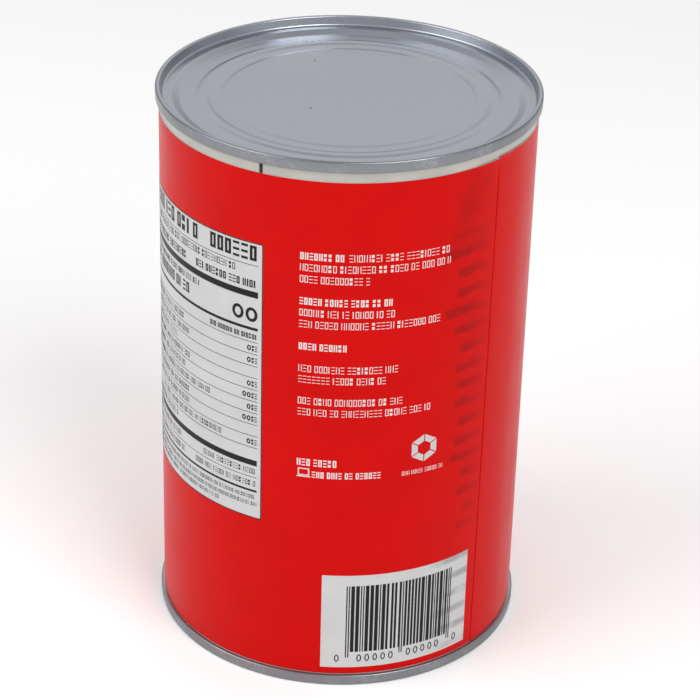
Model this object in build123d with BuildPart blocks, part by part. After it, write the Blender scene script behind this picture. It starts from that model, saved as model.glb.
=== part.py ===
from build123d import *

import os
from math import cos, degrees, radians, sin

# A tall three-piece food can: a welded body, two double-seamed ends and a paper label.
# Millimetres, +Z up, origin at the centre of the base. The label's lap faces -Y and +X.

# Overall sizes
seam_d = 103.2           # across the double seams
can_h = 158.4            # over both double seams

# Double seams
seam_h = 3.1             # height of a seam's outer face
seam_t = 1.25            # thickness through the folded layers
seam_proud = 1.05        # how far a seam stands out from the body wall
rim_outer_round = 0.5    # outer edge of the rim
rim_inner_round = 0.35   # inner edge of the rim
seam_lip_round = 0.45    # curl where a seam turns back to the body

# Body
wall_t = 0.25            # body wall beside an end's plug
weld_w = 0.9             # width of the welded side seam
weld_proud = 0.12        # height of the weld over the wall
weld_deg = -115.1        # the weld's place, from +X

# Ends: depths are from the rim, widths run inwards from the chuck wall
chuck_draft = 0.45       # how much the chuck wall narrows on its way down
ledge_depth = 2.65       # from the rim to the ledge
ledge_w = 2.7            # width of the ledge
ledge_round = 0.6        # corner between chuck wall and ledge
step_drop = 0.9          # from the ledge to the sunken ring
step_w = 2.0             # run of the sloping step
step_round = 1.5         # its upper and lower bends
ring_w = 4.2             # flat sunken ring between step and bead
bead_h = 0.28            # height of the raised bead
bead_top_w = 1.6         # flat crest of the bead
bead_flank_w = 1.2       # run of each flank
bead_round = 2.5         # bends of the bead and of the centre's edge
groove_w = 2.5           # flat groove inside the bead
centre_h = 0.2           # rise of the centre panel over the groove
end_t = 0.5              # thickness of an end under its sunken ring

# Paper label
label_t = 0.15           # thickness of the paper
label_top_gap = 2.9      # bare body between the top seam and the label
label_base_gap = 0.3     # bare body between the bottom seam and the label
lap_w = 12.0             # overlap where the label is glued to itself
lap_blend_w = 8.3        # run in which the outer layer comes down to the body
lap_rise = 0.55          # how much higher the outer layer's corner stands
lap_deg = -41.0          # the outer layer's free edge, from +X

# Shared radii and heights
seam_r = seam_d / 2
rim_inner_r = seam_r - seam_t
chuck_r = rim_inner_r - chuck_draft
body_r = seam_r - seam_proud
plug_r = body_r - wall_t
panel_depth = ledge_depth + step_drop
plug_depth = panel_depth + end_t
label_r = body_r + label_t
label_base = seam_h + label_base_gap
label_top = can_h - seam_h - label_top_gap


def at(radius, angle):
    """The point at a radius and an angle from +X, about the can's axis."""
    return (radius * cos(radians(angle)), radius * sin(radians(angle)))


def arc_degrees(length, radius):
    """The angle that a length spans along an arc."""
    return degrees(length / radius)


def end_surface():
    """An end's outside from its centre to the seam, as (radius, depth) points, and the bends between."""
    ledge_in = chuck_r - ledge_w
    step_in = ledge_in - step_w
    bead_out = step_in - ring_w
    crest_out = bead_out - bead_flank_w
    crest_in = crest_out - bead_top_w
    bead_in = crest_in - bead_flank_w
    centre_out = bead_in - groove_w
    centre_in = centre_out - bead_flank_w
    corners = [
        (centre_in, panel_depth - centre_h, bead_round),
        (centre_out, panel_depth, bead_round),
        (bead_in, panel_depth, bead_round),
        (crest_in, panel_depth - bead_h, bead_round),
        (crest_out, panel_depth - bead_h, bead_round),
        (bead_out, panel_depth, bead_round),
        (step_in, panel_depth, step_round),
        (ledge_in, ledge_depth, step_round),
        (chuck_r, ledge_depth, ledge_round),
        (rim_inner_r, 0, rim_inner_round),
        (seam_r, 0, rim_outer_round),
        (seam_r, seam_h, seam_lip_round),
    ]
    points = [(0, panel_depth - centre_h)]
    points += [(radius, depth) for radius, depth, bend in corners]
    points += [(plug_r, seam_h)]
    return points, [bend for radius, depth, bend in corners]


def seamed_end(rim_z, inward):
    """Build a double-seamed end. Its rim is at rim_z, and inward is -1 below a top rim or 1 above a base."""
    surface, bends = end_surface()
    outside = [(radius, rim_z + inward * depth) for radius, depth in surface]
    plug_z = rim_z + inward * plug_depth
    with BuildPart() as end:
        with BuildSketch(Plane.XZ):
            with BuildLine():
                FilletPolyline(*outside, radius=bends)
                Polyline(outside[-1], (plug_r, plug_z), (0, plug_z), outside[0])
            make_face()
        revolve(axis=Axis.Z)
    return end


# Ends
top_end = seamed_end(can_h, -1)
bottom_end = seamed_end(0, 1)

# Body: solid through, with the weld showing between the label and the top seam
with BuildPart() as can_body:
    with BuildSketch(Plane.XZ):
        with BuildLine():
            Polyline(
                (0, plug_depth),
                (plug_r, plug_depth),
                (plug_r, seam_h),
                (body_r, seam_h),
                (body_r, can_h - seam_h),
                (plug_r, can_h - seam_h),
                (plug_r, can_h - plug_depth),
                (0, can_h - plug_depth),
                close=True,
            )
        make_face()
    revolve(axis=Axis.Z)
    weld_span = arc_degrees(weld_w, body_r)
    weld_start = weld_deg - weld_span / 2
    weld_end = weld_deg + weld_span / 2
    with BuildSketch(Plane.XY.offset(label_top)):
        with BuildLine():
            CenterArc((0, 0), plug_r, weld_start, weld_span)
            Line(at(plug_r, weld_end), at(body_r + weld_proud, weld_end))
            CenterArc((0, 0), body_r + weld_proud, weld_start, weld_span)
            Line(at(plug_r, weld_start), at(body_r + weld_proud, weld_start))
        make_face()
    extrude(amount=label_top_gap)

# Lap of the label: the outer layer, from its free edge to where it meets the body
over_r = label_r + label_t
lap_end = lap_deg + arc_degrees(lap_w, label_r)
blend_end = lap_end + arc_degrees(lap_blend_w, label_r)
with BuildPart() as label_lap:
    with BuildSketch(Plane.XY.offset(label_base)):
        with BuildLine():
            Line(at(body_r, lap_deg), at(over_r, lap_deg))
            CenterArc((0, 0), over_r, lap_deg, lap_end - lap_deg)
            ThreePointArc(
                at(over_r, lap_end),
                at((over_r + label_r) / 2, (lap_end + blend_end) / 2),
                at(label_r, blend_end),
            )
            Line(at(label_r, blend_end), at(body_r, blend_end))
            CenterArc((0, 0), body_r, lap_deg, blend_end - lap_deg)
        make_face()
    extrude(amount=label_top + lap_rise - label_base)
    # its top edge slopes down from the free corner to the height of the label
    high_corner = Vector(*at(label_r, lap_deg), label_top + lap_rise)
    low_corner = Vector(*at(label_r, blend_end), label_top)
    outward = Vector(*at(1, (lap_deg + blend_end) / 2), 0)
    top_slope = Plane(high_corner, x_dir=outward, z_dir=outward.cross(low_corner - high_corner))
    split(bisect_by=top_slope, keep=Keep.BOTTOM)

# Label: one turn of paper with the lap on it
with BuildPart() as paper_label:
    with BuildSketch(Plane.XY.offset(label_base)):
        Circle(label_r)
        Circle(body_r, mode=Mode.SUBTRACT)
    extrude(amount=label_top - label_base)
    add(label_lap.part)

nodes = {
    "can_body": can_body,
    "top_end": top_end,
    "bottom_end": bottom_end,
    "paper_label": paper_label,
}
os.makedirs("parts", exist_ok=True)
for name, piece in nodes.items():
    piece.part.label = name
    export_step(piece.part, f"parts/{name}.step")
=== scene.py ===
"""Looks of a tall shut food can: steel ends, lacquered body, lapped paper label and print.

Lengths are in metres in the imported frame: +Z up, origin at the centre of the base. The print is
modelled flat, with x as the distance round the label from its front, and is then rolled on.
"""
import logging
import math
import random
from contextlib import contextmanager
from dataclasses import dataclass, field
from enum import Enum
from functools import reduce
from typing import Callable, Iterable, Iterator, Sequence

import bpy
from mathutils import Matrix, Vector


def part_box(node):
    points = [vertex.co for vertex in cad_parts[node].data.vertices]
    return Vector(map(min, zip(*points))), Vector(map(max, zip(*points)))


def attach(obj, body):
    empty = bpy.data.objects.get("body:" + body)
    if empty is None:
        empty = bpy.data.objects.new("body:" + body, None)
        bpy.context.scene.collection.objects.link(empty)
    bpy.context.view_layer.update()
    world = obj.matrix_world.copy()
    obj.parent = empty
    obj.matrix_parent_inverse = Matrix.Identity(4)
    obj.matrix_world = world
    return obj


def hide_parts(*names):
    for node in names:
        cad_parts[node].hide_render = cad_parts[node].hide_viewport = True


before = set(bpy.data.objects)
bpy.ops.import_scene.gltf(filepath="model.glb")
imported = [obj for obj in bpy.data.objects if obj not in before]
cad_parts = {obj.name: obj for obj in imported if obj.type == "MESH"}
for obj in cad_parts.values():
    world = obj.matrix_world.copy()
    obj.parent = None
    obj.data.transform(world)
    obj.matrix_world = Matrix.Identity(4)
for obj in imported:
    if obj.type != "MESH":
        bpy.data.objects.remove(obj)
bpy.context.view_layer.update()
LOG = logging.getLogger("can")
MM = 0.001
FACING_FRONT = (math.pi / 2, 0.0, 0.0)
BODY = "root"
Socket = bpy.types.NodeSocket
Piece = bpy.types.Object


# ---------------------------------------------------------------- modelling helpers

def select_only(*pieces: Piece) -> None:
    """Select these objects alone and make the first one active.

    Args:
        pieces: the objects to select.
    """
    bpy.ops.object.select_all(action="DESELECT")
    for piece in pieces:
        piece.select_set(True)
    bpy.context.view_layer.objects.active = pieces[0]


@contextmanager
def editing(piece: Piece) -> Iterator[None]:
    """Open a piece in edit mode with all of it selected, and close it afterwards.

    Args:
        piece: the object to edit.

    Yields:
        Nothing of use, while the piece is open.
    """
    select_only(piece)
    bpy.ops.object.mode_set(mode="EDIT")
    bpy.ops.mesh.select_all(action="SELECT")
    yield
    bpy.ops.object.mode_set(mode="OBJECT")


def start_from(primitive: Callable, **settings: object) -> Piece:
    """Deselect everything, add a primitive.

    Args:
        primitive: the operator that adds it.
        settings: the operator's settings.

    Returns:
        The new object.
    """
    bpy.ops.object.select_all(action="DESELECT")
    primitive(**settings)
    return bpy.context.active_object


def pull(step: tuple[float, float, float], falloff: str, reach: float) -> None:
    """Move what is selected and, less and less, what lies within a reach of it."""
    bpy.ops.transform.translate(value=step, use_proportional_edit=True,
                                proportional_edit_falloff=falloff, proportional_size=reach)


def extrude(step: tuple[float, float, float]) -> None:
    """Extrude what is selected by a step."""
    bpy.ops.mesh.extrude_region_move(TRANSFORM_OT_translate={"value": step})


def face_outwards() -> None:
    """Turn all faces of the mesh in edit mode outwards."""
    bpy.ops.mesh.select_all(action="SELECT")
    bpy.ops.mesh.normals_make_consistent(inside=False)


def place_in_mesh(piece: Piece) -> None:
    """Move an object's place, turn and scale into its mesh."""
    select_only(piece)
    bpy.ops.object.transform_apply(location=True, rotation=True, scale=True)


def upright(piece: Piece, wide: float, tall: float, x: float,
            z: float) -> Piece:
    """Size and place a flat unit shape in its mesh.

    Args:
        piece: the shape, one unit wide and tall.
        wide: its width.
        tall: its height.
        x: its centre's x.
        z: its centre's z.

    Returns:
        The shape.
    """
    piece.scale = (wide, tall, 1.0)
    piece.location = (x, 0.0, z)
    place_in_mesh(piece)
    return piece


def plate(left: float, right: float, low: float, high: float, columns: int = 1,
          rows: int = 1) -> Piece:
    """Add a flat plate at y = 0 that faces -Y.

    Args:
        left: x of its left side.
        right: x of its right side.
        low: z of its lower side.
        high: z of its upper side.
        columns: faces across, so that a wide plate can be rolled smoothly.
        rows: faces up.

    Returns:
        The plate, with its place in its mesh.
    """
    piece = start_from(bpy.ops.mesh.primitive_grid_add, x_subdivisions=columns,
                       y_subdivisions=rows, size=1, rotation=FACING_FRONT)
    return upright(piece, right - left, high - low, (left + right) / 2, (low + high) / 2)


def disc(sides: int, left: float, foot: float, wide: float, tall: float) -> Piece:
    """Add a flat round or many-sided plate at y = 0 that faces -Y.

    Args:
        sides: how many sides it has.
        left: its left side, in millimetres, as the other sizes are.
        foot: its foot.
        wide: its width.
        tall: its height.

    Returns:
        The disc, with its place in its mesh.
    """
    piece = start_from(bpy.ops.mesh.primitive_circle_add, vertices=sides, radius=0.5,
                       fill_type="NGON", rotation=FACING_FRONT)
    return upright(piece, wide * MM, tall * MM, (left + wide / 2) * MM, (foot + tall / 2) * MM)


def hollow(piece: Piece, border: float) -> Piece:
    """Cut the middle out of a flat piece, leave a border of this width.

    Args:
        piece: the flat piece.
        border: the border's width.

    Returns:
        The piece.
    """
    with editing(piece):
        bpy.ops.mesh.inset(thickness=border)
        bpy.ops.mesh.delete(type="FACE")
    return piece


def join(pieces: Sequence[Piece], name: str) -> Piece:
    """Join objects into one, name it.

    Args:
        pieces: the objects to join.
        name: the joined piece's name.

    Returns:
        The joined object.
    """
    select_only(*pieces)
    if len(pieces) > 1:
        bpy.ops.object.join()
    joined = bpy.context.active_object
    joined.name = joined.data.name = name
    return joined


def pick(piece: Piece, kind: str, wanted: Callable) -> None:
    """Select, in edit mode, the vertices or faces for which a test holds.

    Args:
        piece: an object in edit mode.
        kind: VERT or FACE.
        wanted: a test of a mesh vertex or polygon.
    """
    bpy.ops.mesh.select_mode(type=kind)
    bpy.ops.mesh.select_all(action="DESELECT")
    bpy.ops.object.mode_set(mode="OBJECT")
    items = piece.data.vertices if kind == "VERT" else piece.data.polygons
    for item in items:
        item.select = bool(wanted(item))
    bpy.ops.object.mode_set(mode="EDIT")


def thicken(piece: Piece, front: float, back: float) -> None:
    """Turn a flat piece into a closed film between two depths.

    Args:
        piece: a flat piece at y = 0 that faces -Y.
        front: how far its face stands out.
        back: how far its back stands out, less than front.
    """
    with editing(piece):
        bpy.ops.transform.translate(value=(0.0, -front, 0.0))
        extrude((0.0, front - back, 0.0))
        face_outwards()


def roll_on(piece: Piece, radius: float) -> None:
    """Roll a flat piece round the can, so that y = 0 comes to lie on a radius.

    Args:
        piece: the flat piece.
        radius: the radius that its y = 0 plane is rolled to.
    """
    places = [vertex.co.x for vertex in piece.data.vertices]
    select_only(piece)
    bend = piece.modifiers.new("roll", "SIMPLE_DEFORM")
    bend.deform_method = "BEND"
    bend.deform_axis = "Z"
    bend.angle = (max(places) - min(places)) / radius
    bpy.ops.object.modifier_apply(modifier=bend.name)
    piece.location.y = -radius
    place_in_mesh(piece)


def smooth(piece: Piece, degrees: float = 30.0) -> None:
    """Shade a piece smooth, with edges sharper than an angle left crisp."""
    select_only(piece)
    bpy.ops.object.shade_smooth_by_angle(angle=math.radians(degrees))


def hand_over(piece: Piece, material: bpy.types.Material,
              nodes: Iterable[str] = ()) -> None:
    """Dress a finished piece and tie it to the frame.

    Args:
        piece: the finished piece.
        material: its main material, put in its first slot.
        nodes: the frame's nodes that it stands for.
    """
    if piece.data.materials:
        piece.data.materials[0] = material
    else:
        piece.data.materials.append(material)
    if nodes:
        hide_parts(*nodes)
    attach(piece, BODY)
    LOG.info("%s: %d faces", piece.name, len(piece.data.polygons))


def rounded(corners: Sequence[tuple[float, float, float]], steps: int = 6) -> list[Vector]:
    """Round the corners of an open outline with arcs.

    Args:
        corners: x, z and bend radius of each point. The first and last stay as they are.
        steps: straight stretches in each arc.

    Returns:
        The outline's points in the XZ plane.
    """
    points = [Vector((x, 0.0, z)) for x, z, bend in corners]
    outline = [points[0]]
    for index in range(1, len(points) - 1):
        here, bend = points[index], corners[index][2]
        inward = (points[index - 1] - here).normalized()
        outward = (points[index + 1] - here).normalized()
        half = inward.angle(outward) / 2
        if bend <= 0:
            outline.append(here)
            continue
        centre = here + (inward + outward).normalized() * (bend / math.sin(half))
        start = here + inward * (bend / math.tan(half)) - centre
        end = here + outward * (bend / math.tan(half)) - centre
        for step in range(steps + 1):
            outline.append(centre + start.slerp(end, step / steps).normalized() * bend)
    outline.append(points[-1])
    return outline


# ---------------------------------------------------------------- shader helpers

class Graph:
    """A node tree that is being wired. Its values are plain, or sockets that feed them."""

    def __init__(self, tree: bpy.types.NodeTree) -> None:
        """Take over a node tree and clear it."""
        self.tree = tree
        self.tree.nodes.clear()

    def feed(self, socket: Socket, value: object) -> None:
        """Feed an input from a socket, or set it to a plain value.

        Args:
            socket: the input.
            value: the socket or plain value.
        """
        if isinstance(value, Socket):
            self.tree.links.new(value, socket)
        else:
            socket.default_value = value

    def node(self, kind: str, inputs: dict | None = None, **settings: object) -> bpy.types.Node:
        """Add a node.

        Args:
            kind: the node's type, without the leading ShaderNode.
            inputs: a value for each of these inputs' names or numbers.
            settings: the node's own properties.

        Returns:
            The new node.
        """
        made = self.tree.nodes.new("ShaderNode" + kind)
        for key, value in settings.items():
            setattr(made, key, value)
        for key, value in (inputs or {}).items():
            self.feed(made.inputs[key], value)
        return made

    def math(self, operation: str, first: object, second: object = 0.0) -> Socket:
        """Add a Math node and return its result."""
        return self.node("Math", {0: first, 1: second}, operation=operation).outputs[0]

    def times(self, *factors: object) -> Socket:
        """Multiply values together."""
        return reduce(lambda first, second: self.math("MULTIPLY", first, second), factors)

    def between(self, value: object, low: float, high: float, start: float = 0.0,
                end: float = 1.0) -> Socket:
        """Map a value smoothly from one range to another.

        Args:
            value: the value to map.
            low: the value that gives start.
            high: the value that gives end.
            start: the result at low.
            end: the result at high.

        Returns:
            The result.
        """
        made = self.node("MapRange", {"Value": value, "From Min": low, "From Max": high,
                                      "To Min": start, "To Max": end},
                         interpolation_type="SMOOTHSTEP")
        return made.outputs["Result"]

    def mix(self, factor: object, first: object, second: object) -> Socket:
        """Mix two colours by a factor from 0 to 1."""
        return self.node("Mix", {0: factor, 6: first, 7: second}, data_type="RGBA").outputs[2]

    def noise(self, vector: Socket, scale: object, detail: float, roughness: float = 0.5) -> Socket:
        """Add a Noise Texture and return its value."""
        return self.node("TexNoise", {"Vector": vector, "Scale": scale, "Detail": detail,
                                      "Roughness": roughness}).outputs[0]


def make_group(name: str, numbers: dict[str, float], outputs: Sequence[str],
               wire: Callable[[Graph, dict], Sequence[Socket]]) -> bpy.types.NodeTree:
    """Build a shader node group that reads a Vector.

    Args:
        name: the group's name.
        numbers: its other inputs and their defaults.
        outputs: the names of its outputs, which are numbers.
        wire: wires the group from its input sockets, and returns what the outputs give.

    Returns:
        The node group.
    """
    tree = bpy.data.node_groups.new(name, "ShaderNodeTree")
    tree.interface.new_socket(name="Vector", in_out="INPUT", socket_type="NodeSocketVector")
    for label, value in numbers.items():
        socket = tree.interface.new_socket(name=label, in_out="INPUT",
                                           socket_type="NodeSocketFloat")
        socket.default_value = value
    for label in outputs:
        tree.interface.new_socket(name=label, in_out="OUTPUT", socket_type="NodeSocketFloat")
    graph = Graph(tree)
    source = tree.nodes.new("NodeGroupInput")
    sink = tree.nodes.new("NodeGroupOutput")
    given = {label: source.outputs[label] for label in ("Vector", *numbers)}
    for label, result in zip(outputs, wire(graph, given)):
        graph.feed(sink.inputs[label], result)
    return tree


class Effects:
    """Surface effects that several finishes share, each a node group that is built once."""

    def __init__(self) -> None:
        """Build the groups."""
        self.grain = make_group("fine_grain", {"Scale": 4000.0, "Stretch": 1.0},
                                ("Height", "Tone"), self._wire_grain)
        self.scuffs = make_group("scuffs", {"Scale": 500.0, "Amount": 0.3},
                                 ("Mask",), self._wire_scuffs)
        self.specks = make_group("specks", {"Scale": 150.0, "Size": 0.06},
                                 ("Mask",), self._wire_specks)

    @staticmethod
    def _wire_grain(graph: Graph, given: dict) -> Sequence[Socket]:
        """Wire fine noise, squeezed along z by Stretch, as a height, and a slow tone.

        Args:
            graph: the group's graph.
            given: the group's input sockets, by name.

        Returns:
            The height and the tone.
        """
        scale = graph.node("CombineXYZ", {0: 1.0, 1: 1.0, 2: given["Stretch"]})
        spread = graph.node("VectorMath", {0: given["Vector"], 1: scale.outputs[0]},
                            operation="MULTIPLY")
        return (graph.noise(spread.outputs[0], given["Scale"], 3.0, 0.6),
                graph.noise(given["Vector"], 60.0, 4.0))

    @staticmethod
    def _wire_scuffs(graph: Graph, given: dict) -> Sequence[Socket]:
        """Wire uneven rubbed patches: two noises multiplied and cut off by Amount.

        Args:
            graph: the group's graph.
            given: the group's input sockets, by name.

        Returns:
            The mask.
        """
        both = graph.times(graph.noise(given["Vector"], 90.0, 2.0),
                           graph.noise(given["Vector"], given["Scale"], 5.0, 0.7))
        edge = graph.math("SUBTRACT", 0.42, graph.times(given["Amount"], 0.3))
        return (graph.between(graph.math("SUBTRACT", both, edge), 0.0, 0.05),)

    @staticmethod
    def _wire_specks(graph: Graph, given: dict) -> Sequence[Socket]:
        """Wire rare round specks: the centres of a few cells.

        Args:
            graph: the group's graph.
            given: the group's input sockets, by name.

        Returns:
            The mask.
        """
        cells = graph.node("TexVoronoi", {"Vector": given["Vector"], "Scale": given["Scale"]})
        near = graph.math("LESS_THAN", cells.outputs["Distance"], given["Size"])
        channels = graph.node("SeparateColor", {0: cells.outputs["Color"]})
        return (graph.times(near, graph.math("GREATER_THAN", channels.outputs[0], 0.8)),)


class Surface(Graph):
    """A material that is being wired, with its Principled shader."""

    def __init__(self, name: str, effects: Effects | None = None) -> None:
        """Start a material, which may use the shared effects."""
        self.material = bpy.data.materials.new(name)
        self.material.use_nodes = True
        super().__init__(self.material.node_tree)
        self.effects = effects
        self.shader = self.node("BsdfPrincipled")
        self.node("OutputMaterial", {"Surface": self.shader.outputs[0]})

    def place(self) -> Socket:
        """Give the object's own coordinates."""
        return self.node("TexCoord").outputs["Object"]

    def effect(self, group: bpy.types.NodeTree, vector: Socket,
               **numbers: float) -> bpy.types.NodeOutputs:
        """Place a shared effect and return its outputs."""
        return self.node("Group", {"Vector": vector, **numbers}, node_tree=group).outputs

    def grain(self, vector: Socket, scale: float, stretch: float = 1.0) -> tuple[Socket, Socket]:
        """Place the fine grain and return its height and its tone."""
        made = self.effect(self.effects.grain, vector, Scale=scale, Stretch=stretch)
        return made["Height"], made["Tone"]

    def dress(self, base: Socket, rough: object, **numbers: float) -> None:
        """Feed the shader.

        Args:
            base: the colour.
            rough: the roughness.
            numbers: its uniform inputs, with _ for each space in their names.
        """
        for name, value in {"Base_Color": base, "Roughness": rough, **numbers}.items():
            self.feed(self.shader.inputs[name.replace("_", " ")], value)

    def relief(self, height: Socket, distance: float, strength: float) -> None:
        """Raise the surface by a height, whose depth at 1 is a distance in metres."""
        made = self.node("Bump", {"Height": height, "Distance": distance, "Strength": strength})
        self.feed(self.shader.inputs["Normal"], made.outputs[0])


@dataclass(frozen=True)
class Finish:
    """A finish of the can: a named material, which each kind wires in its own way."""

    name: str

    def wire(self, work: Surface) -> None:
        """Wire the material in hand."""
        raise NotImplementedError

    def build(self, effects: Effects) -> bpy.types.Material:
        """Build the material with the shared effects.

        Args:
            effects: the shared node groups.

        Returns:
            The material.
        """
        work = Surface(self.name, effects)
        self.wire(work)
        return work.material


@dataclass(frozen=True)
class TinPlate(Finish):
    """Rolled tin-plated steel of the ends, scuffed and darkened where the seams stand proud; the
    darkening is partly wear and partly painted shade of the seams' upright faces.
    """

    name: str = "tin_plate"
    clean: tuple = (0.385, 0.403, 0.45, 1.0)
    dull: tuple = (0.362, 0.38, 0.423, 1.0)
    # Seam colour: worn steel, darkened further as painted shade of the seam's upright outer face.
    worn_and_shaded: tuple = (0.215, 0.22, 0.232, 1.0)
    bright: tuple = (0.36, 0.365, 0.375, 1.0)
    dirt: tuple = (0.05, 0.045, 0.04, 1.0)
    seam_inner_radius: float = 50.9 * MM
    seam_blend: float = 0.5 * MM
    roughness: float = 0.23

    def wire(self, work: Surface) -> None:
        """Wire the steel, darker, duller and scuffed outside the seam's inner radius; the darker
        colour is partly wear and partly painted shade of the seam's upright outer face.

        Args:
            work: the material in hand.
        """
        place = work.place()
        axes = work.node("SeparateXYZ", {0: place}).outputs
        flat = work.node("CombineXYZ", {0: axes[0], 1: axes[1]}).outputs[0]
        reach = work.node("VectorMath", {0: flat}, operation="LENGTH").outputs["Value"]
        inner = self.seam_inner_radius
        seam = work.between(reach, inner, inner + self.seam_blend)
        height, tone = work.grain(place, 1500.0)
        scuff = work.effect(work.effects.scuffs, place, Scale=1400.0, Amount=0.5)["Mask"]
        speck = work.effect(work.effects.specks, place, Scale=110.0, Size=0.055)["Mask"]
        base = work.mix(work.between(tone, 0.3, 0.7), self.dull, self.clean)
        # Darken the seam: partly wear, partly painted shade of its upright outer face.
        base = work.mix(work.times(seam, 0.9), base, self.worn_and_shaded)
        base = work.mix(work.times(scuff, seam, 0.45), base, self.bright)
        base = work.mix(work.times(speck, 0.8), base, self.dirt)
        rough = work.between(tone, 0.25, 0.75, self.roughness, self.roughness + 0.08)
        work.dress(base, work.math("ADD", rough, work.times(seam, 0.08)), Metallic=1.0)
        work.relief(height, 0.004 * MM, 0.6)


@dataclass(frozen=True)
class BodyLacquer(Finish):
    """Pale lacquer over the tin-plate of the body wall."""

    name: str = "body_lacquer"
    pale: tuple = (0.44, 0.43, 0.385, 1.0)
    warm: tuple = (0.38, 0.375, 0.34, 1.0)

    def wire(self, work: Surface) -> None:
        """Wire the lacquer, with a grain that runs round the can.

        Args:
            work: the material in hand.
        """
        height, tone = work.grain(work.place(), 900.0, 6.0)
        work.dress(work.mix(work.between(tone, 0.35, 0.65), self.pale, self.warm),
                   work.between(height, 0.3, 0.7, 0.3, 0.42), Metallic=0.35)
        work.relief(height, 0.006 * MM, 0.5)


@dataclass(frozen=True)
class BurntWeld(Finish):
    """Dark oxidised steel of the side seam's weld."""

    name: str = "burnt_weld"
    dark: tuple = (0.012, 0.012, 0.014, 1.0)
    blue: tuple = (0.035, 0.037, 0.045, 1.0)

    def wire(self, work: Surface) -> None:
        """Wire the burnt steel, with a coarse upright grain.

        Args:
            work: the material in hand.
        """
        height, tone = work.grain(work.place(), 1800.0, 0.4)
        work.dress(work.mix(work.between(height, 0.35, 0.65), self.dark, self.blue),
                   work.between(tone, 0.3, 0.7, 0.45, 0.6), Metallic=0.6)
        work.relief(height, 0.03 * MM, 0.8)


@dataclass(frozen=True)
class RedPaper(Finish):
    """Coated label paper printed solid red, with the glue showing through beside the lap.

    The sheet's UV map runs from 0 to 1 along its length and its height.
    """

    name: str = "red_paper"
    red: tuple = (0.535, 0.0012, 0.0006, 1.0)
    deep: tuple = (0.505, 0.001, 0.0005, 1.0)
    stain: tuple = (0.23, 0.004, 0.003, 1.0)
    fleck: tuple = (0.72, 0.60, 0.52, 1.0)
    length: float = 331.0 * MM
    height: float = 149.0 * MM
    base: float = 3.4 * MM
    row_pitch: float = 5.62 * MM
    row_top: float = 137.6 * MM
    stain_left: float = 303.0 * MM
    stain_right: float = 318.5 * MM

    def wire(self, work: Surface) -> None:
        """Wire the print, its glue stains, a few flecks and the paper's slight waves.

        Args:
            work: the material in hand.
        """
        axes = work.node("SeparateXYZ", {0: work.node("UVMap").outputs[0]}).outputs
        along = work.times(axes[0], self.length)
        up = work.math("ADD", work.times(axes[1], self.height), self.base)
        flat = work.node("CombineXYZ", {0: along, 1: up}).outputs[0]
        height, tone = work.grain(flat, 2600.0)
        base = work.mix(work.between(tone, 0.3, 0.7), self.deep, self.red)
        base = work.mix(work.times(self._stains(work, along, up, flat), 0.62), base, self.stain)
        speck = work.effect(work.effects.specks, flat, Scale=38.0, Size=0.02)["Mask"]
        flecks = work.times(speck, work.between(up, 75 * MM, 60 * MM), 0.7)
        work.dress(work.mix(flecks, base, self.fleck), work.between(tone, 0.3, 0.7, 0.34, 0.42),
                   Specular_IOR_Level=0.07, Sheen_Weight=0.12, Sheen_Roughness=0.3)
        waves = work.times(work.noise(flat, 45.0, 1.0), 0.15 * MM)
        work.relief(work.math("ADD", waves, work.times(height, 0.0025 * MM)), 1.0, 0.55)

    def _stains(self, work: Surface, along: Socket, up: Socket, flat: Socket) -> Socket:
        """Mask the rows of glue that darken the print beside the lap.

        Args:
            work: the material in hand.
            along: the distance along the sheet.
            up: the height on the can.
            flat: both as a vector.

        Returns:
            The mask.
        """
        first, last = self.stain_left, self.stain_right
        ragged = work.math("SUBTRACT", work.noise(flat, 130.0, 2.0), 0.5)
        depth = work.math("ADD", work.math("SUBTRACT", self.row_top, up),
                          work.times(ragged, 3.4 * MM))
        level = work.math("DIVIDE", depth, self.row_pitch)
        row = work.math("ABSOLUTE", work.math("SUBTRACT", work.math("FRACT", level), 0.5))
        seed = work.node("TexWhiteNoise", {"W": work.math("FLOOR", level)},
                         noise_dimensions="1D").outputs["Value"]
        left = work.math("ADD", work.times(seed, 5.0 * MM), first)
        left = work.math("ADD", left, work.times(work.math("SUBTRACT", 0.11, up), 0.07))
        rows = work.times(work.between(row, 0.30, 0.12),
                          work.between(work.math("SUBTRACT", along, left), 0.0, 1.6 * MM),
                          work.between(along, first + 7 * MM, last, 1.0, 0.35),
                          work.between(up, 42 * MM, 48 * MM), work.between(up, 140 * MM, 130 * MM))
        head = work.times(work.between(work.noise(flat, 70.0, 2.0), 0.42, 0.62),
                          work.between(up, 126 * MM, 134 * MM),
                          work.between(along, first, 309 * MM), 0.55)
        return work.times(work.math("MAXIMUM", rows, head),
                          work.between(along, last, last - 0.8 * MM))


@dataclass(frozen=True)
class WhiteCoat(Finish):
    """Unprinted coated paper: the panels, the reversed print and the sheet's cut edges."""

    name: str = "white_coat"
    light: tuple = (0.53, 0.53, 0.527, 1.0)
    shade: tuple = (0.49, 0.49, 0.49, 1.0)
    smear: tuple = (0.25, 0.25, 0.26, 1.0)
    smear_amount: float = 0.0
    smear_rows: float = 1120.0

    def wire(self, work: Surface) -> None:
        """Wire the paper, and the grey smears at its right where it has them.

        Args:
            work: the material in hand.
        """
        place = work.place()
        height, tone = work.grain(place, 2600.0)
        tone = work.between(tone, 0.3, 0.7)
        base = work.mix(tone, self.shade, self.light)
        if self.smear_amount > 0:
            axes = work.node("SeparateXYZ", {0: place}).outputs
            rows = work.math("SINE", work.times(axes[2], self.smear_rows))
            mask = work.times(work.between(rows, -0.2, 0.9),
                              work.between(axes[0], 24 * MM, 31 * MM),
                              work.between(work.noise(place, 110.0, 3.0), 0.35, 0.6))
            base = work.mix(work.times(mask, self.smear_amount), base, self.smear)
        rough = work.math("ADD", work.times(tone, 0.08), 0.36)
        work.dress(base, rough, Specular_IOR_Level=0.15)
        work.relief(height, 0.003 * MM, 0.4)


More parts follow.
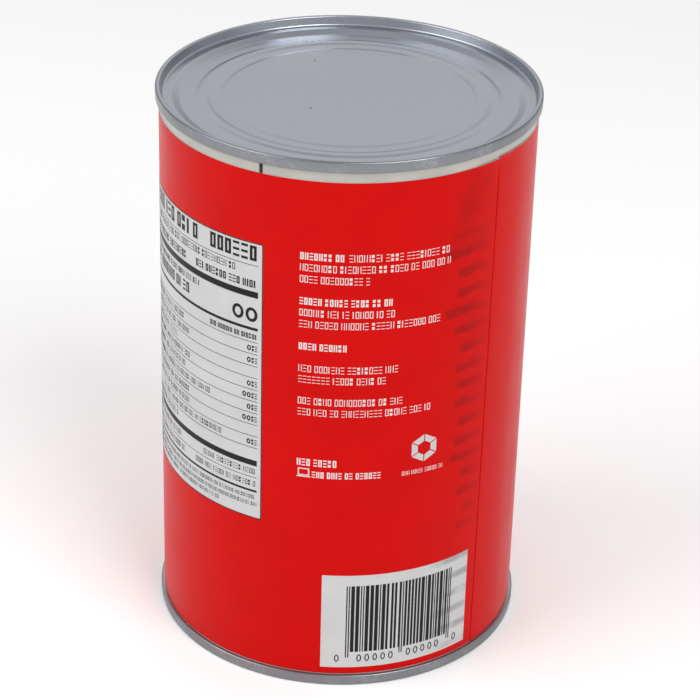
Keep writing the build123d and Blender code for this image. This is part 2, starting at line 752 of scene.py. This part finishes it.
@dataclass(frozen=True)
class BlackInk(Finish):
    """Black printing ink, thin enough for the paper's tooth to show."""

    name: str = "black_ink"
    solid: tuple = (0.008, 0.008, 0.009, 1.0)
    thin: tuple = (0.016, 0.016, 0.017, 1.0)

    def wire(self, work: Surface) -> None:
        """Wire the ink over the paper's grain.

        Args:
            work: the material in hand.
        """
        height, tone = work.grain(work.place(), 3200.0)
        work.dress(work.mix(work.between(height, 0.35, 0.65), self.solid, self.thin),
                   work.between(tone, 0.3, 0.7, 0.34, 0.42), Specular_IOR_Level=0.12)
        work.relief(height, 0.003 * MM, 0.4)


class Finishes:
    """The can's materials, each built once."""

    def __init__(self) -> None:
        """Build the shared effects and every finish."""
        effects = Effects()
        self.tin = TinPlate().build(effects)
        self.lacquer = BodyLacquer().build(effects)
        self.weld = BurntWeld().build(effects)
        self.red = RedPaper().build(effects)
        self.white = WhiteCoat().build(effects)
        self.reversed = WhiteCoat(name="reversed_print", light=(0.70, 0.60, 0.59, 1.0),
                                  shade=(0.63, 0.52, 0.51, 1.0)).build(effects)
        self.smeared = WhiteCoat(name="smeared_white", smear_amount=0.75).build(effects)
        self.ink = BlackInk().build(effects)


# ---------------------------------------------------------------- the can

@dataclass
class CanSizes:
    """Sizes that the can's pieces share."""

    height: float = field(default_factory=lambda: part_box("top_end")[1][2])
    seam_radius: float = 51.6 * MM
    body_radius: float = 50.55 * MM
    wall: float = 0.25 * MM
    seam_height: float = 3.1 * MM
    plug_depth: float = 4.05 * MM
    label_thickness: float = 0.15 * MM
    label_base: float = 3.4 * MM
    label_top: float = 152.4 * MM

    @property
    def label_radius(self) -> float:
        """The outside of one layer of label."""
        return self.body_radius + self.label_thickness

    @property
    def plug_radius(self) -> float:
        """The inside of the body wall."""
        return self.body_radius - self.wall


@dataclass
class SteelEnds:
    """The two double-seamed ends, spun from one section."""

    can: CanSizes
    turns: int = 224
    panel: float = 3.55 * MM
    ledge: float = 2.65 * MM
    least_step: float = 1e-7

    def section(self) -> list[tuple[float, float, float]]:
        """Give the end's section as (radius, height under the rim as a negative z, bend) points.

        Returns:
            The corners, from the centre of the outside to the centre of the hidden underside.
        """
        can, floor = self.can, -self.panel
        return [
            (0.0, floor + 0.20 * MM, 0.0),
            (33.3 * MM, floor + 0.20 * MM, 2.5 * MM),
            (34.5 * MM, floor, 2.5 * MM),
            (37.0 * MM, floor, 2.5 * MM),
            (38.2 * MM, floor + 0.28 * MM, 2.5 * MM),
            (39.8 * MM, floor + 0.28 * MM, 2.5 * MM),
            (41.0 * MM, floor, 2.5 * MM),
            (45.2 * MM, floor, 1.5 * MM),
            (47.2 * MM, -self.ledge, 1.5 * MM),
            (49.9 * MM, -self.ledge, 0.6 * MM),
            (50.35 * MM, 0.0, 0.35 * MM),
            (can.seam_radius, 0.0, 0.5 * MM),
            (can.seam_radius, -can.seam_height, 0.45 * MM),
            (can.plug_radius, -can.seam_height, 0.0),
            (can.plug_radius, -can.plug_depth, 0.0),
            (0.0, -can.plug_depth, 0.0),
        ]

    def model(self) -> Piece:
        """Spin the top end, closed, with its rim at the can's height.

        Returns:
            The end.
        """
        points = rounded(self.section())
        lift = Vector((0.0, 0.0, self.can.height))
        piece = start_from(bpy.ops.mesh.primitive_plane_add, size=MM, location=points[0] + lift)
        place_in_mesh(piece)
        with editing(piece):
            bpy.ops.mesh.merge(type="CENTER")
            for here, ahead in zip(points, points[1:]):
                step = ahead - here
                if step.length > self.least_step:
                    bpy.ops.mesh.extrude_vertices_move(TRANSFORM_OT_translate={"value": step})
            bpy.ops.mesh.select_all(action="SELECT")
            bpy.ops.mesh.spin(steps=self.turns, angle=2 * math.pi, center=(0, 0, 0),
                              axis=(0, 0, 1))
            bpy.ops.mesh.select_all(action="SELECT")
            bpy.ops.mesh.remove_doubles(threshold=0.001 * MM)
            face_outwards()
        return piece

    def build(self, finishes: Finishes) -> None:
        """Build both ends and dress them.

        Args:
            finishes: the can's materials.
        """
        top = self.model()
        top.name = top.data.name = "top_end_steel"
        smooth(top, 40)
        base = top.copy()
        base.data = top.data.copy()
        base.name = base.data.name = "bottom_end_steel"
        bpy.context.collection.objects.link(base)
        turn_over = Matrix.Translation((0, 0, self.can.height)) @ Matrix.Rotation(math.pi, 4, "X")
        base.data.transform(turn_over)
        hand_over(top, finishes.tin, ["top_end"])
        hand_over(base, finishes.tin, ["bottom_end"])


@dataclass
class BodyWall:
    """The body between the seams, and the weld that shows above the label."""

    can: CanSizes
    facets: int = 256
    weld_angle: float = -25.1
    weld_width: float = 0.9 * MM
    weld_proud: float = 0.12 * MM
    weld_tuck: float = 0.4 * MM

    def build(self, finishes: Finishes) -> None:
        """Build the body and the weld.

        Args:
            finishes: the can's materials.
        """
        hand_over(self.model_wall(), finishes.lacquer, ["can_body"])
        hand_over(self.model_weld(), finishes.weld)

    def model_wall(self) -> Piece:
        """Model the body: a cylinder whose faces are inset by the wall and sunk for the plugs.

        Returns:
            The closed body.
        """
        can = self.can
        tall = can.height - 2 * can.seam_height
        wall = start_from(bpy.ops.mesh.primitive_cylinder_add, vertices=self.facets,
                          radius=can.body_radius, depth=tall, location=(0, 0, can.height / 2))
        wall.name = wall.data.name = "body_wall"
        place_in_mesh(wall)
        sink = can.plug_depth - can.seam_height
        with editing(wall):
            for side in (1, -1):
                pick(wall, "FACE", lambda face: face.normal.z * side > 0.9)
                bpy.ops.mesh.inset(thickness=can.wall)
                extrude((0, 0, -side * sink))
        smooth(wall)
        return wall

    def model_weld(self) -> Piece:
        """Model the weld as a low bevelled strip, roll it on.

        Returns:
            The weld.
        """
        can = self.can
        middle = math.radians(self.weld_angle) * can.body_radius
        half = self.weld_width / 2
        weld = plate(middle - half, middle + half, can.label_top - self.weld_tuck,
                     can.height - can.seam_height, 4)
        weld.name = weld.data.name = "side_weld"
        thicken(weld, self.weld_proud, -0.1 * MM)
        with editing(weld):
            pick(weld, "FACE", lambda face: face.normal.y < -0.9)
            bpy.ops.mesh.bevel(offset=0.06 * MM, segments=2, affect="EDGES")
        roll_on(weld, can.body_radius)
        smooth(weld, 50)
        return weld


@dataclass
class PaperLabel:
    """The label: one sheet, wrapped a little more than once round and glued over itself."""

    can: CanSizes
    lap_angle: float = 49.0
    lap: float = 12.0 * MM
    blend: float = 8.3 * MM
    rise: float = 0.55 * MM
    skew: float = 1.15 * MM
    columns: int = 420
    rows: int = 36
    curl: float = 0.22 * MM
    curl_reach: float = 6.0 * MM
    curl_angles: tuple = (404.0, 416.0)

    def build(self, finishes: Finishes) -> None:
        """Cut, shape, thicken and wrap the sheet.

        Args:
            finishes: the can's materials.
        """
        can = self.can
        start = math.radians(self.lap_angle) * can.label_radius
        end = start + 2 * math.pi * can.label_radius + self.lap
        sheet = plate(start, end, can.label_base, can.label_top, self.columns, self.rows)
        sheet.name = sheet.data.name = "label_sheet"
        with editing(sheet):
            self.shape(sheet, start)
            bpy.ops.mesh.select_all(action="SELECT")
            extrude((0, can.label_thickness, 0))
            face_outwards()
        sheet.data.materials.append(finishes.red)
        sheet.data.materials.append(finishes.white)
        for face in sheet.data.polygons:
            printed = face.normal.y < -0.5 or abs(face.normal.x) > 0.7
            face.material_index = 0 if printed else 1
        roll_on(sheet, can.label_radius)
        smooth(sheet, 40)
        hand_over(sheet, finishes.red, ["paper_label"])

    def shape(self, sheet: Piece, start: float) -> None:
        """Trim the free edge, lift the outer layer over the lap and let the top edge curl.

        Args:
            sheet: the flat sheet, in edit mode.
            start: x of the outer layer's free edge.
        """
        can = self.can
        top = can.label_top
        pick(sheet, "VERT", lambda v: v.co.x < start + MM * 0.01 and v.co.z > top - 0.01 * MM)
        pull((0, 0, self.rise), "LINEAR", self.lap + self.blend)
        bpy.ops.mesh.select_all(action="SELECT")
        slope = Vector((can.label_top - can.label_base, 0, -self.skew)).normalized()
        bpy.ops.mesh.bisect(plane_co=(start, 0, can.label_base), plane_no=slope, clear_inner=True)
        pick(sheet, "VERT", lambda v: v.co.x < start + self.lap)
        pull((0, -can.label_thickness, 0), "SMOOTH", self.blend)
        left, right = (math.radians(a) * can.label_radius for a in self.curl_angles)
        pick(sheet, "VERT", lambda v: left < v.co.x < right and v.co.z > top - 0.01 * MM)
        pull((0, -self.curl, 0), "SMOOTH", self.curl_reach)


# ---------------------------------------------------------------- the print

class Weight(Enum):
    """How heavy a line of marks is."""

    LIGHT = 0.24
    BOLD = 0.39


class Mark(Enum):
    """The abstract marks that stand in for type. None of them is a letter."""

    BOX = "box"
    TWIN = "twin"
    STACK = "stack"
    PAIR = "pair"
    BAR = "bar"


@dataclass(frozen=True)
class Line:
    """A line of marks: where it stands, how tall it is and how heavy."""

    left: float
    right: float
    foot: float
    cap: float = 2.0
    weight: Weight = Weight.LIGHT


class TypeCase:
    """Sets lines of abstract marks from a few that are modelled once."""

    WIDTH = 0.47
    GAP = 0.14

    def __init__(self, seed: int) -> None:
        """Model the marks, one mark high, in both weights.

        Args:
            seed: the seed of the marks' order and the words' lengths.
        """
        self.draw = random.Random(seed)
        self.sorts: dict[tuple[Mark, Weight], Piece] = {}
        for weight in Weight:
            for mark in Mark:
                self.sorts[mark, weight] = self._model(mark, weight.value * self.WIDTH)

    def _model(self, mark: Mark, stroke: float) -> Piece:
        """Model one flat mark, with its foot and left side at the origin.

        Args:
            mark: which mark.
            stroke: the width of its strokes.

        Returns:
            The mark.
        """
        wide, low = self.WIDTH, stroke * 0.9
        if mark is Mark.BOX:
            return hollow(plate(0, wide, 0, 1), stroke)
        if mark is Mark.TWIN:
            parts = [plate(0, stroke, 0, 1), plate(wide - stroke, wide, 0, 1)]
        elif mark is Mark.STACK:
            parts = [plate(0, wide, z, z + low) for z in (0, 0.5 - low / 2, 1 - low)]
        elif mark is Mark.PAIR:
            parts = [plate(0, wide * 0.8, z, z + 0.4) for z in (0, 0.6)]
        else:
            parts = [plate(0, stroke * 1.2, 0, 1)]
        return join(parts, mark.value)

    def set_line(self, line: Line) -> list[Piece]:
        """Set a line in words of random length.

        Args:
            line: the line, in millimetres.

        Returns:
            The marks that make it.
        """
        marks = []
        place, left_in_word = line.left, self.draw.randint(3, 9)
        kinds = [Mark.BOX] * 3 + [Mark.STACK] * 2 + [Mark.TWIN, Mark.PAIR, Mark.BAR]
        while place + self.WIDTH * line.cap <= line.right + 0.3:
            kind = self.draw.choice(kinds)
            marks.append(self.put(kind, line, place))
            share = 0.5 if kind is Mark.BAR else 1.0
            place += (self.WIDTH * share + self.GAP) * line.cap
            left_in_word -= 1
            if left_in_word == 0:
                place += 0.3 * line.cap
                left_in_word = self.draw.randint(2, 9)
        return marks

    def put(self, mark: Mark, line: Line, left: float) -> Piece:
        """Copy one mark into a line.

        Args:
            mark: which mark.
            line: the line that it stands in.
            left: its left side, in millimetres.

        Returns:
            The copy, with its own mesh.
        """
        copy = self.sorts[mark, line.weight].copy()
        copy.data = copy.data.copy()
        size = line.cap * MM
        copy.data.transform(Matrix.Translation((left * MM, 0, line.foot * MM))
                            @ Matrix.Diagonal((size, 1, size, 1)))
        bpy.context.collection.objects.link(copy)
        return copy

    def clear(self) -> None:
        """Take the modelled marks out of the scene."""
        for piece in self.sorts.values():
            bpy.data.objects.remove(piece)


def ring(left: float, foot: float, wide: float, tall: float, stroke: float) -> Piece:
    """Model a plain upright oval ring, as a nought, by its sizes in millimetres."""
    return hollow(disc(20, left, foot, wide, tall), stroke * MM)


def bar(left: float, right: float, low: float, high: float) -> Piece:
    """Add a plate by its sides in millimetres, with a face for each millimetre of its length."""
    columns = max(1, round(right - left))
    return plate(left * MM, right * MM, low * MM, high * MM, columns)


@dataclass
class LabelPrint:
    """Everything printed on the label, in layers of film on the label's face."""

    can: CanSizes
    finishes: Finishes
    on_paper: tuple = (0.03 * MM, -0.01 * MM)
    on_panel: tuple = (0.05 * MM, 0.02 * MM)

    def lay(self, parts: Sequence[Piece], name: str, material: bpy.types.Material,
            slot: str, depths: tuple) -> None:
        """Join flat parts into a film and roll it on the label.

        Args:
            parts: the flat parts.
            name: the film's name.
            material: its material.
            slot: a material slot name; not used.
            depths: how far its face and its back stand out from the label.
        """
        film = join(parts, name)
        thicken(film, *depths)
        roll_on(film, self.can.label_radius)
        hand_over(film, material)


@dataclass
class FactsPanel(LabelPrint):
    """The pale panel of food facts, with its rules and lines of marks."""

    left: float = -77.5
    right: float = -21.3
    low: float = 50.1
    high: float = 132.6
    margin: float = 1.4
    edge: float = 0.28

    def build(self) -> None:
        """Build the panel, its outline and what is printed on it."""
        panel = [bar(self.left, self.right, self.low, self.high)]
        self.lay(panel, "facts_panel", self.finishes.white, "label_white", self.on_paper)
        parts = self.outline() + self.rules()
        case = TypeCase(11)
        for line in self.lines():
            parts += case.set_line(line)
        parts += self.values(case)
        case.clear()
        self.lay(parts, "facts_print", self.finishes.ink, "label_black", self.on_panel)

    def outline(self) -> list[Piece]:
        """Frame the panel with a thin line.

        Returns:
            The line's four sides.
        """
        edge, low, high = self.edge, self.low, self.high
        return [
            bar(self.left, self.right, high - edge, high),
            bar(self.left, self.right, low, low + edge),
            bar(self.left, self.left + edge, low + edge, high - edge),
            bar(self.right - edge, self.right, low + edge, high - edge),
        ]

    def rules(self) -> list[Piece]:
        """Rule the panel: thin lines between rows, and thick bars between its parts.

        Returns:
            The rules.
        """
        start, end = self.left + self.margin, self.right - self.margin
        thin = [126.0, 62.8] + [103.75 - 3.53 * row for row in range(10)]
        made = [bar(start, end, z, z + 0.16) for z in thin]
        made += [bar(start, end, low, high) for low, high in
                 ((116.8, 118.6), (107.3, 108.1), (66.5, 68.2), (58.3, 58.95))]
        return made

    def lines(self) -> list[Line]:
        """List the panel's lines of marks.

        Returns:
            The lines.
        """
        start, end = self.left + self.margin + 0.4, self.right - self.margin
        light, bold = Weight.LIGHT, Weight.BOLD
        made = [
            Line(start, -41.5, 127.4, 4.3, bold), Line(-38.3, end, 127.4, 4.3, bold),
            Line(start, -28.6, 123.4, 1.9, light),
            Line(start, -48.4, 119.7, 2.1, bold), Line(-44.1, end, 119.7, 2.1, bold),
            Line(start, -42.6, 114.1, 1.6, bold), Line(start, -46.3, 110.0, 3.0, bold),
            Line(-38.4, end, 104.7, 1.5, bold),
            Line(start, -52.0, 63.9, 1.6, light), Line(-41.2, end, 63.9, 1.6, light),
            Line(start, -50.0, 60.1, 1.6, light), Line(-44.7, end, 60.1, 1.6, light),
            Line(start, -23.6, 56.1, 1.15, light), Line(start, end, 54.0, 1.15, light),
            Line(start, -35.3, 52.0, 1.15, light),
        ]
        ends = [-50.0, -48.0, -53.0, -47.3, -50.1, -38.1, -47.7, -47.8, -33.6, -54.5]
        indents = [0, 4, 4, 0, 0, 0, 4, 4, 8, 0]
        for row, (stop, indent) in enumerate(zip(ends, indents)):
            foot = 103.75 - 3.53 * (row + 1) + 1.0
            heavy = start + indent + (12 if indent == 0 else 0)
            if indent == 0:
                made.append(Line(start, heavy, foot, 1.6, bold))
            made.append(Line(heavy + 0.8, stop, foot, 1.6, light))
        return made

    def values(self, case: TypeCase) -> list[Piece]:
        """Set the large number and the column of small ones as plain noughts.

        Args:
            case: the marks to set with.

        Returns:
            The numbers' parts.
        """
        end = self.right - self.margin
        made = [ring(end - 7.9, 109.7, 3.6, 4.2, 0.85), ring(end - 3.7, 109.7, 3.6, 4.2, 0.85)]
        for row, count in enumerate((1, 1, 0, 1, 2, 1, 2, 0, 1, 0)):
            if not count:
                continue
            foot = 103.75 - 3.53 * (row + 1) + 0.95
            line = Line(0, 0, foot, 1.6, Weight.BOLD)
            made.append(case.put(Mark.STACK, line, end - 0.85))
            made.append(case.put(Mark.PAIR, line, end - 1.75))
            for place in range(count):
                made.append(ring(end - 3.2 - 1.4 * place, foot, 1.2, 1.6, 0.36))
        return made


@dataclass
class SideText(LabelPrint):
    """The block of white marks, the small screen and the loop beside it."""

    left: float = -11.3
    loop_centre: tuple = (23.3, 73.7)
    loop_radius: float = 4.4
    loop_width: float = 2.07
    loop_gap: float = 0.16

    def build(self) -> None:
        """Build the text block, the screen and the loop."""
        case = TypeCase(29)
        parts = []
        for line in self.lines():
            parts += case.set_line(line)
        case.clear()
        self.lay(parts, "side_text", self.finishes.reversed, "label_white", self.on_paper)
        self.lay(self.screen(), "screen_sign", self.finishes.reversed, "label_white", self.on_paper)
        self.lay(self.loop(), "loop_sign", self.finishes.white, "label_white", self.on_paper)

    def lines(self) -> list[Line]:
        """List the block's lines of marks.

        Returns:
            The lines.
        """
        a, bold = self.left, Weight.BOLD
        return [
            Line(a, 0.2, 130.5, 2.0, bold), Line(1.3, 28.2, 130.5), Line(a, 28.9, 127.3),
            Line(a, 6.4, 124.0),
            Line(a, 12.7, 117.7, 2.0, bold), Line(a, 13.6, 114.4), Line(a, 27.1, 111.1),
            Line(a, 1.6, 104.6, 2.0, bold),
            Line(a, 15.7, 98.1), Line(a, 12.2, 94.9),
            Line(a, 16.3, 88.5), Line(a, 25.0, 85.2),
            Line(a, -0.2, 69.8, 2.1, bold), Line(-7.2, 11.4, 66.3, 1.9, bold),
            Line(17.1, 29.6, 66.2, 1.25),
        ]

    def screen(self) -> list[Piece]:
        """Model a plain open rectangle on a wider foot.

        Returns:
            The screen's parts.
        """
        a = self.left
        return [
            bar(a + 0.3, a + 0.62, 66.8, 69.0), bar(a + 3.1, a + 3.42, 66.8, 69.0),
            bar(a + 0.62, a + 3.1, 68.7, 69.0), bar(a + 0.62, a + 3.1, 66.8, 67.05),
            bar(a, a + 3.75, 66.3, 66.62),
        ]

    def loop(self) -> list[Piece]:
        """Model a ring of six blocks about a hexagon, with gaps between them.

        Returns:
            The blocks, as one piece.
        """
        x, z = self.loop_centre
        reach = self.loop_radius
        piece = hollow(disc(6, x - reach, z - reach, 2 * reach, 2 * reach), self.loop_width * MM)
        with editing(piece):
            bpy.ops.mesh.edge_split(type="EDGE")
            bpy.ops.mesh.select_mode(type="FACE")
            bpy.ops.mesh.select_all(action="SELECT")
            bpy.ops.mesh.inset(thickness=self.loop_gap * MM, use_boundary=True,
                               use_individual=True)
            bpy.ops.mesh.select_all(action="INVERT")
            bpy.ops.mesh.delete(type="FACE")
        return [piece]


@dataclass
class BarsPanel(LabelPrint):
    """The white panel of upright bars, which say nothing, over a row of noughts."""

    left: float = -3.85
    right: float = 40.2
    low: float = 5.5
    high: float = 35.7
    bars_left: float = 2.95
    module: float = 0.33
    modules: int = 95
    top: float = 32.3
    foot: float = 10.6
    guard_foot: float = 8.8

    def build(self) -> None:
        """Build the panel, its bars and its noughts."""
        panel = [bar(self.left, self.right, self.low, self.high)]
        self.lay(panel, "bars_panel", self.finishes.smeared, "label_white", self.on_paper)
        self.lay(self.bars() + self.noughts(), "bars_print", self.finishes.ink, "label_black",
                 self.on_panel)

    def bars(self) -> list[Piece]:
        """Draw bars of random width, with longer guards at the ends and the middle.

        Returns:
            The bars.
        """
        draw = random.Random(5)
        guards = {0, 2, 46, 48, 92, 94}
        made = []
        place = 0
        while place < self.modules:
            wide = 1 if place in guards else draw.choice((1, 2, 2, 3, 3))
            nearest = min([g for g in guards if g > place], default=self.modules)
            wide = max(1, min(wide, nearest - place - 1))
            start = self.bars_left + place * self.module
            low = self.guard_foot if place in guards else self.foot
            made.append(bar(start, start + wide * self.module, low, self.top))
            gap = draw.choice((1, 1, 1, 2))
            place = min(place + wide + gap, nearest)
        return made

    def noughts(self) -> list[Piece]:
        """Set two groups of five noughts between the guards and one at each side.

        Returns:
            The noughts.
        """
        starts = [self.bars_left + 3.2 + 2.25 * step for step in range(5)]
        starts += [self.bars_left + 17.4 + 2.25 * step for step in range(5)]
        starts += [self.bars_left - 3.0, self.bars_left + self.modules * self.module + 1.2]
        return [ring(start, 7.3, 1.35, 2.4, 0.32) for start in starts]


# ---------------------------------------------------------------- the studio

@dataclass
class Studio:
    """A pale floor, soft light from all round, and the camera."""

    eye: Vector = field(default_factory=lambda: Vector((2.066, -610.99, 407.34)) * MM)
    aim: Vector = field(default_factory=lambda: Vector((2.066, 0.0, 78.025)) * MM)
    lens: float = 126.99
    roll: float = 1.5787

    def build(self) -> None:
        """Build the studio."""
        self.floor()
        self.world()
        self.lamp("key", (0.55, -0.75, 0.95), 0.7, 8.0)
        self.lamp("fill", (-0.9, -0.35, 0.75), 0.9, 6.5)
        self.camera()
        bpy.context.scene.view_settings.view_transform = "Standard"

    def floor(self) -> None:
        """Lay the floor."""
        floor = start_from(bpy.ops.mesh.primitive_plane_add, size=12)
        floor.name = "floor"
        work = Surface("pale_floor")
        tone = work.mix(work.noise(work.place(), 3.0, 2.0), (0.955, 0.955, 0.96, 1.0),
                        (0.97, 0.97, 0.97, 1.0))
        work.dress(tone, 0.9, Specular_IOR_Level=0.1)
        floor.data.materials.append(work.material)

    def world(self) -> None:
        """Light the scene from all round, brightest low behind the can and dimmer overhead."""
        world = bpy.data.worlds.new("studio")
        bpy.context.scene.world = world
        world.use_nodes = True
        graph = Graph(world.node_tree)
        axes = graph.node("SeparateXYZ", {0: graph.node("TexCoord").outputs["Generated"]}).outputs
        glow = graph.times(graph.between(axes[1], 0.55, 0.85), graph.between(axes[2], 0.24, 0.40),
                           graph.between(axes[2], 0.80, 0.62), 0.38)
        sky = graph.node("Background", {"Color": (1.0, 1.0, 1.0, 1.0),
                                        "Strength": graph.math("ADD", 0.62, glow)})
        graph.node("OutputWorld", {"Surface": sky.outputs[0]})

    def lamp(self, name: str, place: tuple, size: float, power: float) -> None:
        """Hang a soft square lamp that points at the can.

        Args:
            name: the lamp's name.
            place: where it hangs.
            size: the length of its sides.
            power: its power in watts.
        """
        bpy.ops.object.light_add(type="AREA", location=place)
        lamp = bpy.context.active_object
        lamp.name = name
        lamp.data.size = size
        lamp.data.energy = power
        turn = (self.aim - lamp.location).to_track_quat("-Z", "Y")
        lamp.rotation_euler = turn.to_euler()

    def camera(self) -> None:
        """Set up the camera, a little rolled."""
        bpy.ops.object.camera_add(location=self.eye)
        camera = bpy.context.active_object
        look = (self.aim - self.eye).to_track_quat("-Z", "Y").to_matrix().to_4x4()
        tilt = Matrix.Rotation(math.radians(self.roll), 4, "Z")
        camera.matrix_world = Matrix.Translation(self.eye) @ look @ tilt
        camera.data.lens = self.lens
        camera.data.sensor_width = 36.0
        camera.data.clip_end = 50.0
        bpy.context.scene.camera = camera


def main() -> None:
    """Build the can and its studio in order."""
    logging.basicConfig(level=logging.INFO, format="%(name)s: %(message)s")
    can = CanSizes()
    finishes = Finishes()
    SteelEnds(can).build(finishes)
    BodyWall(can).build(finishes)
    PaperLabel(can).build(finishes)
    FactsPanel(can, finishes).build()
    SideText(can, finishes).build()
    BarsPanel(can, finishes).build()
    Studio().build()


if __name__ == "__main__":
    main()
